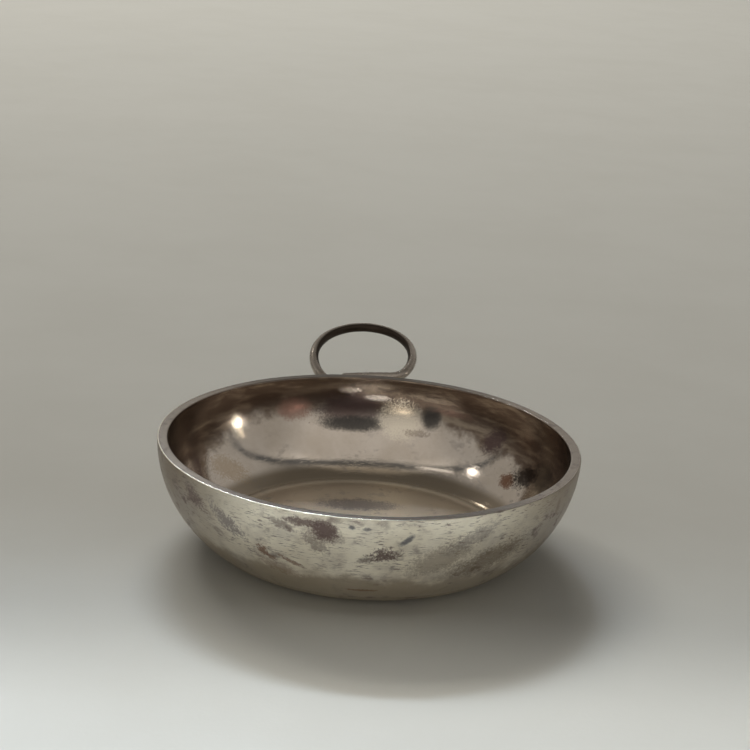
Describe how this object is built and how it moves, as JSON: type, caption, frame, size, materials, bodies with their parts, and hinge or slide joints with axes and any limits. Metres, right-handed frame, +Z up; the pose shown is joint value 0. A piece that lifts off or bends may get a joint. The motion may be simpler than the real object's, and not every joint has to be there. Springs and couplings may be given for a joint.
{
  "type": "tastevin",
  "caption": "Shallow round silver wine-tasting cup with a flat bottom, a thick plain lip and a wire finger ring soldered to its wall.",
  "frame": {"origin": "centre of the flat bottom, on the table", "axes": "+Z up along the bowl's axis, +Y from the bowl's axis towards the finger ring"},
  "size_m": [0.0848, 0.1054, 0.0281],
  "materials": {
    "silver_bowl": "tarnished hand-raised silver",
    "silver_wire": "darkly tarnished drawn silver wire",
    "silver_solder": "dull silver solder"
  },
  "bodies": {
    "root": {"bowl": "silver_bowl", "handle_ring": "silver_wire", "upper_solder": "silver_solder", "lower_solder": "silver_solder"}
  },
  "joints": []
}
